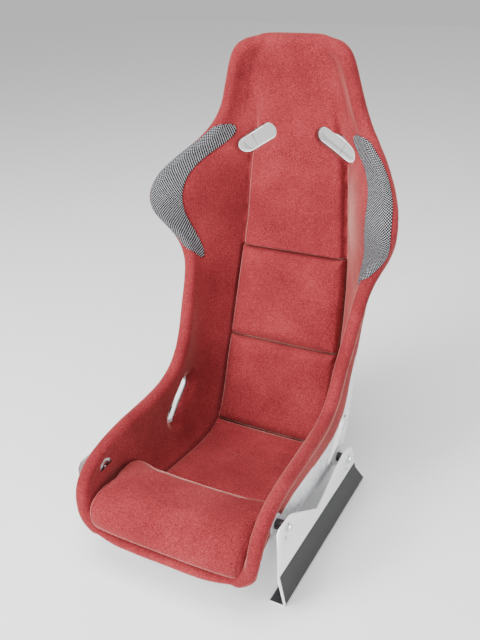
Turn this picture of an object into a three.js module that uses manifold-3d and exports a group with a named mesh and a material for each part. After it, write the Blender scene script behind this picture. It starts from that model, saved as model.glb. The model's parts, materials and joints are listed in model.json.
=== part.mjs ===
// A fixed-back racing seat: a moulded fibreglass shell, foam lining and loose cushions in velour,
// mesh panels on the shoulder wings, belt slots with trims, and two side brackets on bolts.
// Millimetres. The seat faces -Y, +X is to the right of someone who looks at its front, +Z is up.
import * as THREE from "three";
import { mergeVertices, mergeGeometries } from "three/addons/utils/BufferGeometryUtils.js";
import Module from "manifold-3d";

const wasm = await Module();
wasm.setup();

// ---------------------------------------------------------------- driving dimensions
const SHELL_WALL = 4;
const GAP = 0.3; // clearance between pieces that touch
const FELT = 3.5; // thin lining bonded to the shell under the loose cushions
const STRIP = 1.5; // hook-and-loop strip
const PAD_TOP = 34; // face of the loose cushions, from the shell's outer face
const PAD_EDGE = 8; // rounding of a cushion's edges
const HEAD_TOP = 26; // face of the head pad in the middle
const LIP_TOP = 13; // face of the padded front lip
const BAR_BACK = 14; // how far the padded ends reach back over the shell
const ROLL_IN = 17; // padded rim, from the middle of the shell's edge inwards
const ROLL_OUT = 13; // the same, outwards
const ROLL_EDGE = 15; // the same, past the edge
const WALL_FOAM = 6; // extra foam half way down the side walls
const SKIRT = 9; // the bolster's foam under the ends of the thigh cushion
const SKIRT_RISE = 7; // and how much thicker it is beside them
const FLAP = 5; // the cover's flap on the outside
const MESH_THICK = 1.5;
const BELT_SLOT = { length: 98, width: 34, x: 90, z: 711, tilt: -32 }; // shoulder belt slot
const TRIM_WALL = 2;
const LAP_BEZEL = { ends: 11, sides: 6 }; // the bezel's flange, past the slot
const BELT_LIP = 3; // how far the belt slot's trim stands out at the back
const BEZEL_THICK = 2.6;
const TRIM_SCREW = { shank: 1.5, head: 3.2, high: 1.8, reach: 4.5 };
const PLATE_FACE = 220; // outer face of the side brackets
const PLATE_THICK = 3;
const FLANGE_WIDTH = 32;
const BEND_RADIUS = 4;
const BOLT = { shank: 4, head: 7, headHigh: 4.6, washer: 9, washerThick: 1.6, pitch: 290 };
const BOLT_FRONT = { y: -165, z: 178 };
const BOLT_REAR = { y: BOLT_FRONT.y + BOLT.pitch, z: 123 };
// The lap belt slot stands over the rear bolt.
const LAP_SLOT = { length: 106, width: 27, y: BOLT_REAR.y - 15, z: BOLT_REAR.z + 47, tilt: 38 };
const SPARE_HOLE = { y: -8, z: -18 }; // the second hole of each pair, from the bolt
const BOSS = { radius: 19, face: 197, back: 183 }; // moulded pad on the shell at each bolt
const INSERT = { flange: 13, thick: 2.5, barrel: 7 };
const SPACER = 10;
const FLANGE_FRONT = -184;
const FLANGE_BACK = 229;
// The bracket seen from the side [y, z], from the lower front corner.
const PLATE_OUTLINE = [
  [-184, 0],
  [229, 0],
  [170, 74],
  [160, 104],
  [152, 128],
  [140, 144],
  [122, 152],
  [100, 154],
  [54, 143],
  [8, 125],
  [-32, 115],
  [-84, 151],
  [-118, 174],
  [-144, 192],
  [-156, 197],
  [-196, 198],
  [-204, 190],
  [-206, 84],
];
const BAND_OUTLINE = [
  [-182, 6],
  [221, 6],
  [168, 73],
  [162, 88],
  [-203, 92],
];
const FLOOR_SLOT = { length: 28, width: 9, inset: 36 };
const BAND_THICK = 0.8;

// ---------------------------------------------------------------- the shell's form
// Stations run from the front lip along the pan and up the back to the top of the head section.
// base is the centre line of the shell's outer face [y, z]. The section leaves it flat for `flat`,
// turns at `knee`, passes `wall` [x, share of the way to the rim] and ends at the rim [x, y, z].
const STATIONS = [
  { base: [-247, 84], flat: 60, knee: 100, wall: [128, 0.5], rim: [158, -240, 92] },
  { base: [-234, 84], flat: 84, knee: 128, wall: [152, 0.5], rim: [180, -238, 103] },
  { base: [-205, 83], flat: 100, knee: 150, wall: [176, 0.45], rim: [190, -237, 130] },
  { base: [-165, 80], flat: 108, knee: 166, wall: [187, 0.5], rim: [193, -228, 173] },
  { base: [-118, 74], flat: 112, knee: 176, wall: [192, 0.55], rim: [193, -192, 206] },
  { base: [-55, 63], flat: 114, knee: 180, wall: [194, 0.6], rim: [192, -122, 221] },
  { base: [20, 50], flat: 116, knee: 184, wall: [197, 0.6], rim: [191, -42, 224] },
  { base: [95, 40], flat: 118, knee: 186, wall: [200, 0.6], rim: [190, 34, 225] },
  { base: [160, 38], flat: 120, knee: 186, wall: [203, 0.6], rim: [190, 90, 236] },
  { base: [212, 58], flat: 120, knee: 184, wall: [204, 0.55], rim: [189, 132, 264] },
  { base: [240, 110], flat: 120, knee: 180, wall: [202, 0.55], rim: [190, 163, 312] },
  { base: [266, 180], flat: 120, knee: 176, wall: [200, 0.55], rim: [196, 193, 366] },
  { base: [298, 262], flat: 122, knee: 170, wall: [200, 0.6], rim: [201, 222, 416] },
  { base: [328, 346], flat: 124, knee: 164, wall: [202, 0.68], rim: [207, 244, 464] },
  { base: [355, 428], flat: 124, knee: 158, wall: [206, 0.78], rim: [228, 254, 509] },
  { base: [375, 505], flat: 122, knee: 152, wall: [210, 0.86], rim: [249, 238, 554] },
  { base: [386, 572], flat: 118, knee: 150, wall: [212, 0.88], rim: [269, 200, 606] },
  { base: [391, 630], flat: 112, knee: 148, wall: [202, 0.84], rim: [253, 242, 652] },
  { base: [394, 690], flat: 100, knee: 140, wall: [176, 0.7], rim: [200, 328, 699] },
  { base: [394, 745], flat: 84, knee: 122, wall: [150, 0.6], rim: [160, 349, 755] },
  { base: [389, 805], flat: 74, knee: 108, wall: [132, 0.6], rim: [141, 348, 815] },
  { base: [380, 858], flat: 66, knee: 96, wall: [117, 0.6], rim: [128, 347, 868] },
  { base: [375, 889], flat: 58, knee: 86, wall: [104, 0.6], rim: [117, 350, 896] },
  { base: [371, 905], flat: 48, knee: 72, wall: [88, 0.6], rim: [99, 355, 906] },
  { base: [368, 914], flat: 36, knee: 54, wall: [64, 0.5], rim: [72, 360, 910] },
];
const LAST = STATIONS.length - 3; // the spline's parameter runs from 0 to here

// Grid lines that every piece of the lining shares, so that facing surfaces stay parallel.
const U_STEP = 0.5;
const COARSE = [[3.5, 6.5], [9, 12], [18.5, 20.5]]; // stretches where every station will do
const coarse = (u) => COARSE.some(([from, to]) => u > from && u < to && (u - from) % 1 !== 0);
const U_LINES = Array.from({ length: LAST / U_STEP + 1 }, (_, i) => i * U_STEP).filter((u) => !coarse(u));
const T_SEAM = 0.44; // the crease between the cushions and the side bolsters
const T_LINES = [0, 0.22, T_SEAM, 0.53, 0.62, 0.71, 0.8, 0.87, 0.93, 1];
const T_WRAP = 0.93; // the cover's outer flap ends here, down the outside from the rim
const T_PAD = T_SEAM - 0.006; // the cushions' side edges
const THIGH_END = 0.68; // the thigh cushion's ends
// Where the pieces begin and end along the stations.
const LIP_BACK = 1.5; // the padded front lip
const ROLL_BACK = 3.5; // back of the thigh cushion
const SEAT_BACK = 8; // back of the seat cushion
const PAD_LINES = [8, 11, 13.5, 18.5]; // lower pad, middle pad, upper pad, up to the head pad
const MESH_LINES = [12, 17.5]; // the mesh panel's ends
const MESH_INNER = 0.87;
const CLEAR = 0.02; // gap along the stations between one cushion and the next
// The thigh cushion's top: [station, height over the shell, distance forward].
const THIGH_TOP = [
  [0, 34, 6],
  [0.5, 60, 2],
  [1, 70, 0],
  [1.5, 74, 0],
  [2, 76, 0],
  [3, 79, 0],
  [3.5 - CLEAR, 70, 0],
];

// ---------------------------------------------------------------- spline and surface helpers
// A clamped uniform cubic B-spline through a list of number lists, at u from 0 to length - 3.
function spline(points, u) {
  const spans = points.length - 3;
  const knot = (i) => Math.min(Math.max(i - 3, 0), spans);
  const span = Math.min(Math.max(Math.floor(u), 0), spans - 1) + 3;
  const d = [0, 1, 2, 3].map((i) => [...points[span - 3 + i]]);
  for (let level = 1; level <= 3; level++)
    for (let i = 3; i >= level; i--) {
      const low = knot(span - 3 + i);
      const share = (u - low) / (knot(span + 1 + i - level) - low);
      d[i] = d[i].map((v, k) => d[i - 1][k] * (1 - share) + v * share);
    }
  return d[3];
}

const STATION_ROWS = STATIONS.map((s) => [...s.base, s.flat, s.knee, ...s.wall, ...s.rim]);

// A point on the shell's outer face: u along the stations, t from -1 at the left rim to 1 at the right.
function facePoint(u, t) {
  const [y, z, flat, knee, wallX, wallShare, rimX, rimY, rimZ] = spline(STATION_ROWS, u);
  const section = [
    [0, 0],
    [flat / 2, 0],
    [flat, 0],
    [knee, 0.13 * wallShare],
    [wallX, wallShare],
    [rimX, 1],
  ];
  const [x, share] = spline(section, Math.abs(t) * 3);
  return new THREE.Vector3(Math.sign(t) * x, y + share * (rimY - y), z + share * (rimZ - z));
}

const STEP = 0.02;
const inside = (v, low, high) => Math.min(Math.max(v, low), high);

// The normal of the face, towards the occupant.
function faceNormal(u, t) {
  const a = inside(u, 0.4, LAST - 0.4);
  const b = inside(t, -0.94, 0.94);
  const along = facePoint(a + STEP, b).sub(facePoint(a - STEP, b));
  const across = facePoint(a, b + STEP).sub(facePoint(a, b - STEP));
  return across.cross(along).normalize();
}

// The direction past the side edge, in the face's plane and square to the edge.
function edgeNormal(u, side) {
  const a = inside(u, 2 * STEP, LAST - 2 * STEP);
  const along = facePoint(a + STEP, side).sub(facePoint(a - STEP, side));
  const out = along.cross(faceNormal(a, side)).normalize();
  return out.multiplyScalar(side);
}

// A point at height h over the outer face and, at an edge, `past` the edge. Before the first
// station and after the last, u goes straight on in centimetres.
function place(u, t, h, past = 0) {
  const on = inside(u, 0, LAST);
  const p = facePoint(on, t).addScaledVector(faceNormal(on, t), h);
  if (past) p.addScaledVector(edgeNormal(on, Math.sign(t)), past);
  if (on !== u) p.addScaledVector(endDirection(on), 10 * (u - on));
  return p;
}

// The direction along the pan or up the back at an end of the shell.
function endDirection(u) {
  const a = inside(u, STEP, LAST - STEP);
  return facePoint(a + STEP, 0).sub(facePoint(a - STEP, 0)).normalize();
}

// ---------------------------------------------------------------- solids
function geometryOf(points, triangles) {
  const g = new THREE.BufferGeometry();
  g.setAttribute("position", new THREE.Float32BufferAttribute(points.flatMap((p) => p.toArray()), 3));
  g.setIndex(triangles);
  return g;
}

// Turns a closed shape's faces outwards.
function outward(geometry) {
  const p = geometry.attributes.position;
  const corner = (i) => new THREE.Vector3().fromBufferAttribute(p, geometry.index.getX(i));
  let volume = 0;
  for (let i = 0; i < geometry.index.count; i += 3)
    volume += corner(i).dot(corner(i + 1).cross(corner(i + 2)));
  if (volume > 0) return geometry;
  return geometry.setIndex([...geometry.index.array].reverse());
}

// Joins rings of equal length into a closed tube, with both ends capped by `cap` triangles.
// rising(i, j) turns the diagonal of the face after point j of ring i.
function loft(rings, cap, rising = () => false) {
  const count = rings[0].length;
  const triangles = [];
  for (let i = 0; i + 1 < rings.length; i++)
    for (let j = 0; j < count; j++) {
      const a = i * count + j;
      const b = i * count + ((j + 1) % count);
      if (rising(i, j)) triangles.push(a, b + count, b, a, a + count, b + count);
      else triangles.push(a, a + count, b, a + count, b + count, b);
    }
  const end = (rings.length - 1) * count;
  for (const [a, b, c] of cap) triangles.push(a, b, c, end + a, end + c, end + b);
  return geometryOf(rings.flat(), triangles);
}

// Triangles between two chains that run the same way, as indices into the ring that goes along
// the first and back along the second.
function zip(outer, inner) {
  const at = ([t, h, past = 0]) => new THREE.Vector2(t * 400 + Math.sign(t) * past, h);
  const back = (k) => outer.length + inner.length - 1 - k;
  const triangles = [];
  let i = 0;
  let k = 0;
  while (i + 1 < outer.length || k + 1 < inner.length) {
    const stepOuter = i + 1 < outer.length ? at(outer[i + 1]).distanceTo(at(inner[k])) : Infinity;
    const stepInner = k + 1 < inner.length ? at(outer[i]).distanceTo(at(inner[k + 1])) : Infinity;
    if (stepOuter <= stepInner) triangles.push([i, ++i, back(k)]);
    else triangles.push([i, back(k + 1), back(k++)]);
  }
  return triangles;
}

// A section lofted along u. sectionAt gives its two chains of [t, height, distance past the edge].
function loftSection(uLines, sectionAt) {
  const sections = uLines.map(sectionAt);
  const rings = sections.map(([outer, inner], i) =>
    [...outer, ...[...inner].reverse()].map(([t, h, past]) => place(uLines[i], t, h, past)));
  const first = [...sections[0][0], ...[...sections[0][1]].reverse()];
  // Diagonals follow t, then height, so that two faces over the same grid lines stay parallel.
  const rising = (i, j) => {
    const [t, h] = first[j];
    const [nextT, nextH] = first[(j + 1) % first.length];
    if (nextT === t) return nextH > h;
    return Math.abs(nextT) > Math.abs(t) === uLines[i] > LAST / 2;
  };
  return outward(loft(rings, zip(...sections[0]), rising));
}

// The grid lines from one station to another, with both ends.
function uBetween(from, to) {
  return [from, ...U_LINES.filter((u) => u > from + 0.03 && u < to - 0.03), to];
}

const tBetween = (from, to) => T_LINES.filter((t) => t >= from - 1e-6 && t <= to + 1e-6);
const mirroredLines = (to) => [...tBetween(0, to).slice(1).reverse().map((t) => -t), ...tBetween(0, to)];

// A slab between two heights over the grid lines from t0 to t1.
function slab(uLines, tLines, low, high) {
  const at = (h, u, t) => (typeof h === "function" ? h(u, t) : h);
  return loftSection(uLines, (u) => [high, low].map((h) => tLines.map((t) => [t, at(h, u, t)])));
}

function solid(geometry) {
  const g = geometry.clone();
  for (const name of Object.keys(g.attributes)) if (name !== "position") g.deleteAttribute(name);
  const merged = mergeVertices(g, 1e-3);
  const mesh = new wasm.Mesh({
    numProp: 3,
    vertProperties: merged.attributes.position.array,
    triVerts: new Uint32Array(merged.index.array),
  });
  mesh.merge();
  return new wasm.Manifold(mesh);
}

function geometryFrom(made) {
  const mesh = made.getMesh();
  const g = new THREE.BufferGeometry();
  g.setAttribute("position", new THREE.BufferAttribute(mesh.vertProperties, 3));
  g.setIndex(new THREE.BufferAttribute(mesh.triVerts, 1));
  return g;
}

// A cylinder or ring along X between two x values.
function discX(radius, from, to, y, z, segments = 16) {
  const g = new THREE.CylinderGeometry(radius, radius, Math.abs(to - from), segments);
  return g.rotateZ(Math.PI / 2).translate((from + to) / 2, y, z);
}

function ringX(outer, inner, from, to, y, z, segments = 16) {
  return solid(discX(outer, from, to, y, z, segments))
    .subtract(solid(discX(inner, from - 1, to + 1, y, z, segments)));
}

// A slot-shaped outline with round ends, centred on the origin and turned by `tilt` degrees.
function slotShape(length, width, tilt) {
  const shape = new THREE.Shape();
  const r = width / 2;
  const half = length / 2 - r;
  const turn = THREE.MathUtils.degToRad(tilt);
  const spin = ([x, y]) => [x * Math.cos(turn) - y * Math.sin(turn), x * Math.sin(turn) + y * Math.cos(turn)];
  shape.moveTo(...spin([-half, -r]));
  shape.lineTo(...spin([half, -r]));
  shape.absarc(...spin([half, 0]), r, turn - Math.PI / 2, turn + Math.PI / 2);
  shape.lineTo(...spin([-half, r]));
  shape.absarc(...spin([-half, 0]), r, turn + Math.PI / 2, turn + 1.5 * Math.PI);
  return shape;
}

const EXTRUDE = { bevelEnabled: false, curveSegments: 5 };

// A prism through the shoulder slot, along Y; side is 1 for the right slot.
function beltPrism(grow, side) {
  const { length, width, x, z, tilt } = BELT_SLOT;
  const shape = slotShape(length + 2 * grow, width + 2 * grow, tilt * side);
  return solid(new THREE.ExtrudeGeometry(shape, { ...EXTRUDE, depth: 160 })
    .rotateX(Math.PI / 2).translate(side * x, 460, z));
}

// A prism through the lap slot, along X.
function lapPrism(longer, wider, side) {
  const { length, width, y, z, tilt } = LAP_SLOT;
  const shape = slotShape(length + 2 * longer, width + 2 * wider, tilt);
  const prism = new THREE.ExtrudeGeometry(shape, { ...EXTRUDE, depth: 120 });
  prism.applyMatrix4(new THREE.Matrix4().makeBasis(
    new THREE.Vector3(0, 1, 0), new THREE.Vector3(0, 0, 1), new THREE.Vector3(1, 0, 0)));
  return solid(prism.translate(side > 0 ? 130 : -250, y, z));
}

// ---------------------------------------------------------------- materials and nodes
const seat = new THREE.Group();
const material = (color, roughness, metalness = 0) =>
  new THREE.MeshStandardMaterial({ color, roughness, metalness });
const MATERIALS = {
  gelcoat: material("#e9eaec", 0.25),
  velour: material("#b03a42", 0.95),
  lining: material("#8f2c34", 0.95),
  mesh: material("#3a3c42", 0.8),
  blackTrim: material("#141517", 0.5),
  bezel: material("#eceded", 0.4),
  bracket: material("#dddfe3", 0.35, 0.4),
  band: material("#1c1e21", 0.6),
  zinc: material("#a9adb3", 0.35, 0.9),
  steel: material("#8b8f96", 0.4, 0.9),
  hook: material("#26272b", 0.95),
};

function add(name, shape, finish) {
  const geometry = shape.isBufferGeometry ? shape : geometryFrom(shape);
  const mesh = new THREE.Mesh(geometry, MATERIALS[finish]);
  mesh.name = name;
  seat.add(mesh);
}

const SIDES = [["left", -1], ["right", 1]];
const BOLTS = [["front", BOLT_FRONT], ["rear", BOLT_REAR]];

// ---------------------------------------------------------------- shell
// How far out the shell's outer face is on the side wall, at y and z.
function wallX(y, z) {
  let best = { gap: Infinity, x: 0 };
  for (let u = 4; u < 12; u += 0.04)
    for (let t = 0.62; t < 1; t += 0.01) {
      const p = facePoint(u, t);
      const gap = Math.hypot(p.y - y, p.z - z);
      if (gap < best.gap) best = { gap, x: p.x };
    }
  return best.x;
}

function screwShank({ x, y, z, side }, grow) {
  const out = x + side * (BEZEL_THICK + 2 * GAP + 1);
  return solid(discX(TRIM_SCREW.shank + grow, x - side * (TRIM_SCREW.reach + grow), out, y, z, 12));
}

function makeShell() {
  const lines = mirroredLines(1);
  let body = solid(slab(uBetween(0, LAST), lines, 0, SHELL_WALL));
  for (const [, side] of SIDES) {
    for (const [, bolt] of BOLTS) {
      body = body.add(solid(discX(BOSS.radius, side * BOSS.back, side * BOSS.face, bolt.y, bolt.z)));
      body = body.subtract(
        solid(discX(INSERT.barrel + GAP, side * (BOSS.back - 5), side * (BOSS.face + 5), bolt.y, bolt.z)));
    }
    body = body.subtract(beltPrism(0, side)).subtract(lapPrism(0, 0, side));
  }
  for (const spot of SCREW_SPOTS) body = body.subtract(screwShank(spot, GAP));
  add("shell", body, "gelcoat");
}

// ---------------------------------------------------------------- lining
// Foam height over the shell's outer face on the side walls.
function wallHeight(u, t) {
  const share = (Math.abs(t) - T_SEAM) / (1 - T_SEAM);
  if (u < ROLL_BACK + 0.1) return Math.abs(t) < T_WRAP ? SKIRT : SKIRT + SKIRT_RISE;
  return SHELL_WALL / 2 + ROLL_IN + WALL_FOAM * Math.sin(Math.PI * share);
}

// The padded rim's arc, from the inside over the edge to the outside. `size` scales its section.
function rimArc(side, size, grow = 0, to = 180, count = 4) {
  return Array.from({ length: count + 1 }, (_, i) => {
    const a = THREE.MathUtils.degToRad((to * i) / count);
    const thick = (Math.cos(a) > 0 ? ROLL_IN : ROLL_OUT) + grow;
    const rise = thick * Math.cos(a) * size;
    return [side, SHELL_WALL / 2 + rise, (ROLL_EDGE + grow) * Math.sin(a) * size];
  });
}

// Lining from t0 to the right rim, over it, and down the outside to the flap's end, as two chains.
function rimmedHalf(u, t0, height = wallHeight, size = 1) {
  const walls = tBetween(t0, 1).slice(0, -1);
  const flap = tBetween(T_WRAP, 1).slice(0, -1).reverse();
  const outer = [...walls.map((t) => [t, height(u, t)]), ...rimArc(1, size), ...flap.map((t) => [t, -FLAP])];
  const inner = [
    ...walls.map((t) => [t, SHELL_WALL + GAP]),
    [1, SHELL_WALL + GAP, GAP],
    [1, -GAP, GAP],
    ...flap.map((t) => [t, -GAP]),
  ];
  return [outer, inner];
}

const flipped = (chain) => chain.map(([t, ...rest]) => [-t, ...rest]);
const mirrored = (chain) => [...flipped(chain.slice(1)).reverse(), ...chain];

function cutBosses(foam, side) {
  let left = foam;
  for (const [, bolt] of BOLTS)
    left = left.subtract(solid(
      discX(BOSS.radius + GAP, side * (BOSS.back - 5), side * (PLATE_FACE + 20), bolt.y, bolt.z)));
  return left;
}

function makeBolsters() {
  for (const [name, side] of SIDES) {
    const section = (u) => rimmedHalf(u, T_SEAM).map(side > 0 ? (chain) => chain : flipped);
    const foam = solid(loftSection(uBetween(LIP_BACK, PAD_LINES[3]), section));
    const bezel = lapPrism(LAP_BEZEL.ends + GAP, LAP_BEZEL.sides + GAP, side)
      .intersect(solid(slab(uBetween(4.5, 11), tBetween(0.62, 1).map((t) => t * side), -20, 0)));
    let cut = cutBosses(foam, side).subtract(lapPrism(0, 0, side)).subtract(beltPrism(0, side)).subtract(bezel);
    for (const spot of SCREW_SPOTS) cut = cut.subtract(screwShank(spot, 2 * GAP));
    add(`side_bolster_${name}`, cut, "velour");
  }
}

// A padded bar along an end edge of the shell, from rim to rim. `height` is its face in the middle.
function endBar(uEnd, height) {
  const out = uEnd > 0 ? 1 : -1;
  const middle = SHELL_WALL / 2;
  const rings = mirroredLines(1).map((t) =>
    Array.from({ length: 12 }, (_, i) => {
      const a = (2 * Math.PI * i) / 12;
      const thick = Math.cos(a) > 0 ? height - middle : ROLL_OUT - middle;
      const past = (Math.sin(a) > 0 ? ROLL_EDGE : BAR_BACK) * Math.sin(a) * out;
      const p = place(uEnd, t, middle + thick * Math.cos(a));
      return p.addScaledVector(endDirection(uEnd), past);
    }));
  const fan = Array.from({ length: 10 }, (_, i) => [0, i + 1, i + 2]);
  let bar = solid(outward(loft(rings, fan)));
  for (const side of [-1, 1])
    for (const u of [uEnd, uEnd - (out * U_STEP) / 2]) {
      const c = place(u, side, middle);
      bar = bar.add(solid(new THREE.SphereGeometry(ROLL_EDGE, 10, 8).translate(c.x, c.y, c.z)));
    }
  return bar;
}

// The shell near one of its ends, with a wide clearance on every side.
function grownShell(uEnd) {
  const out = uEnd > 0 ? 1 : -1;
  const wide = mirroredLines(1);
  const clear = 4 * GAP;
  const edge = (t) => (Math.abs(t) === 1 ? clear : 0);
  const near = [2, 1.5, 1, 0.5, 0, -clear / 10].map((d) => uEnd - out * d);
  return solid(loftSection(out > 0 ? near : near.reverse(), () => [
    wide.map((t) => [t, SHELL_WALL + clear, edge(t)]),
    wide.map((t) => [t, -clear, edge(t)]),
  ]));
}

// A lining that crosses the seat from rim to rim and rolls over the end edge of the shell.
function makeEndPad(uIn, uEnd, height, side) {
  const face = (u, t) => {
    const share = inside((Math.abs(t) - 0.3) / (0.8 - 0.3), 0, 1);
    return height * (1 - share) + side * share;
  };
  // The last ring is thinner: the foam there turns over the edge.
  const main = (u) => {
    const size = u === uEnd ? 0.7 : 1;
    return rimmedHalf(u, 0, (at, t) => size * face(at, t), size).map(mirrored);
  };
  const lines = uEnd > uIn ? uBetween(uIn, uEnd) : uBetween(uEnd, uIn);
  return solid(loftSection(lines, main)).add(endBar(uEnd, height)).subtract(grownShell(uEnd));
}

function makeEndPads() {
  let head = makeEndPad(PAD_LINES[3] + CLEAR, LAST, HEAD_TOP, SHELL_WALL / 2 + ROLL_IN);
  for (const [, side] of SIDES) head = head.subtract(beltPrism(0, side));
  add("head_pad", head, "velour");
  add("front_lip", makeEndPad(LIP_BACK - 3 * CLEAR, 0, LIP_TOP, SHELL_WALL / 2 + ROLL_IN), "velour");
}

// ---------------------------------------------------------------- cushions
// A pad with rounded edges between two stations, over the centre lining.
function pad(uFrom, uTo, low, high) {
  const lines = tBetween(0, T_SEAM).slice(0, -1);
  const across = [...lines, T_PAD - 0.02, T_PAD];
  const edgeHeight = (u, t) => {
    const fromEnd = Math.min(u - uFrom, uTo - u);
    const drop = (fromEnd < 0.02 ? PAD_EDGE : 0) + (Math.abs(t) > T_PAD - 0.01 ? PAD_EDGE : 0);
    return high - Math.min(drop, 1.4 * PAD_EDGE);
  };
  const stations = [uFrom, ...uBetween(uFrom + 0.2, uTo - 0.2), uTo];
  return slab(stations, mirroredChain(across), low, edgeHeight);
}

const mirroredChain = (lines) => [...lines.slice(1).reverse().map((t) => -t), ...lines];

const LINING_TOP = SHELL_WALL + GAP + FELT;
const STRIP_LOW = LINING_TOP + 3 * GAP;
const PAD_LOW = STRIP_LOW + STRIP + GAP;
const STRIP_LINES = [0.14, 0.22];
const CUSHIONS = [
  ["seat_cushion", ROLL_BACK + CLEAR, SEAT_BACK - CLEAR],
  ["backrest_pad_lower", PAD_LINES[0] + CLEAR, PAD_LINES[1] - CLEAR],
  ["backrest_pad_middle", PAD_LINES[1] + CLEAR, PAD_LINES[2] - CLEAR],
  ["backrest_pad_upper", PAD_LINES[2] + CLEAR, PAD_LINES[3] - CLEAR],
];

const LINING_LINES = [LIP_BACK + CLEAR, ...uBetween(LIP_BACK + U_STEP, PAD_LINES[3] - U_STEP),
  PAD_LINES[3] - CLEAR];

function makeCushions() {
  const lining = solid(slab(LINING_LINES,
    mirroredChain([...tBetween(0, 0.4), T_PAD]), SHELL_WALL + GAP, LINING_TOP));
  const cut = (foam) => SIDES.reduce((left, [, side]) => left.subtract(beltPrism(0, side)), foam);
  add("centre_lining", cut(lining), "lining");
  for (const [name, from, to] of CUSHIONS) add(name, cut(solid(pad(from, to, PAD_LOW, PAD_TOP))), "velour");
  addStrips("thigh_cushion", LIP_BACK + 0.3, ROLL_BACK - 0.3);
  for (const [name, from, to] of CUSHIONS) addStrips(name, from + 0.3, to - (to > 18 ? 2.2 : 0.3));
}

// Two hook-and-loop strips under a cushion, along the grid.
function addStrips(name, from, to) {
  const stations = U_LINES.filter((u) => u > from && u < to);
  for (const [label, side] of SIDES)
    add(`${name}_strip_${label}`,
      slab(stations, STRIP_LINES.map((t) => t * side).sort((a, b) => a - b), STRIP_LOW, STRIP_LOW + STRIP),
      "hook");
}

// The thigh cushion stands on the lip and the lining, and its ends on the bolsters' skirts.
function makeThighCushion() {
  const across = mirroredChain([...tBetween(0, THIGH_END - 0.05), THIGH_END - 0.03, THIGH_END]);
  const raise = (t) => (Math.abs(t) > 0.5 ? 6 : 0) + (Math.abs(t) > 0.6 ? 9 : 0);
  const rings = THIGH_TOP.map(([u, top, forward]) => {
    const bottom = u <= LIP_BACK ? LIP_TOP + 4 : PAD_LOW + 1;
    const point = (t, h, front) => facePoint(u, t).add(new THREE.Vector3(0, -front, h));
    const low = across.map((t) => point(t, bottom + raise(t), 0));
    const high = [...across].reverse().map((t) => {
      const end = Math.abs(t) > THIGH_END - 0.01 ? 0.72 : 1;
      return point(t, bottom + (top - bottom) * end, forward * end);
    });
    return [...low, ...high];
  });
  const n = across.length;
  const cap = Array.from({ length: n - 1 }, (_, i) =>
    [[i, i + 1, 2 * n - 2 - i], [i, 2 * n - 2 - i, 2 * n - 1 - i]]).flat();
  add("thigh_cushion", outward(loft(rings, cap)), "velour");
}

// ---------------------------------------------------------------- mesh panels and slot trims
// A thin panel over the wing's inner face and rim, widest at the wing.
function makeMeshPanels() {
  for (const [name, side] of SIDES) {
    const section = (u) => {
      const walls = tBetween(MESH_INNER, 1).slice(0, -1);
      const skin = (h) => [...walls.map((t) => [t, wallHeight(u, t) + h]), ...rimArc(1, 1, h, 45, 1)];
      return [skin(MESH_THICK + GAP), skin(GAP)].map(side > 0 ? (chain) => chain : flipped);
    };
    add(`shoulder_mesh_${name}`, loftSection(uBetween(...MESH_LINES), section), "mesh");
  }
}

function makeSlotTrims() {
  for (const [name, side] of SIDES) {
    const lines = mirroredLines(1).filter((t) => t * side >= 0);
    const layer = (low, high, from, to) => solid(slab(uBetween(from, to), lines, low, high));
    const inner = -GAP - TRIM_WALL;
    const sleeve = beltPrism(-GAP, side).subtract(beltPrism(inner, side));
    add(`belt_slot_trim_${name}`, sleeve.intersect(layer(-BELT_LIP, HEAD_TOP - 6, 15.5, 20)), "bezel");
    const tube = lapPrism(-GAP, -GAP, side).subtract(lapPrism(inner, inner, side));
    const plate = lapPrism(LAP_BEZEL.ends, LAP_BEZEL.sides, side).subtract(lapPrism(inner, inner, side));
    let bezel = tube.intersect(layer(-BEZEL_THICK - GAP, SHELL_WALL + 1, 4, 11))
      .add(plate.intersect(layer(-BEZEL_THICK - GAP, -GAP, 4, 11)));
    for (const spot of SCREW_SPOTS.filter((s) => s.side === side)) {
      bezel = bezel.subtract(screwShank(spot, GAP));
      const { x, y, z } = spot;
      const seatX = x + side * (BEZEL_THICK + 2 * GAP);
      const head = discX(TRIM_SCREW.head, seatX + side * 0.8, seatX + side * (0.8 + TRIM_SCREW.high), y, z, 14);
      add(`lap_trim_screw_${name}_${spot.place}`, screwShank(spot, 0).add(solid(head)), "steel");
    }
    add(`lap_slot_trim_${name}`, bezel, "bezel");
  }
}

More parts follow.
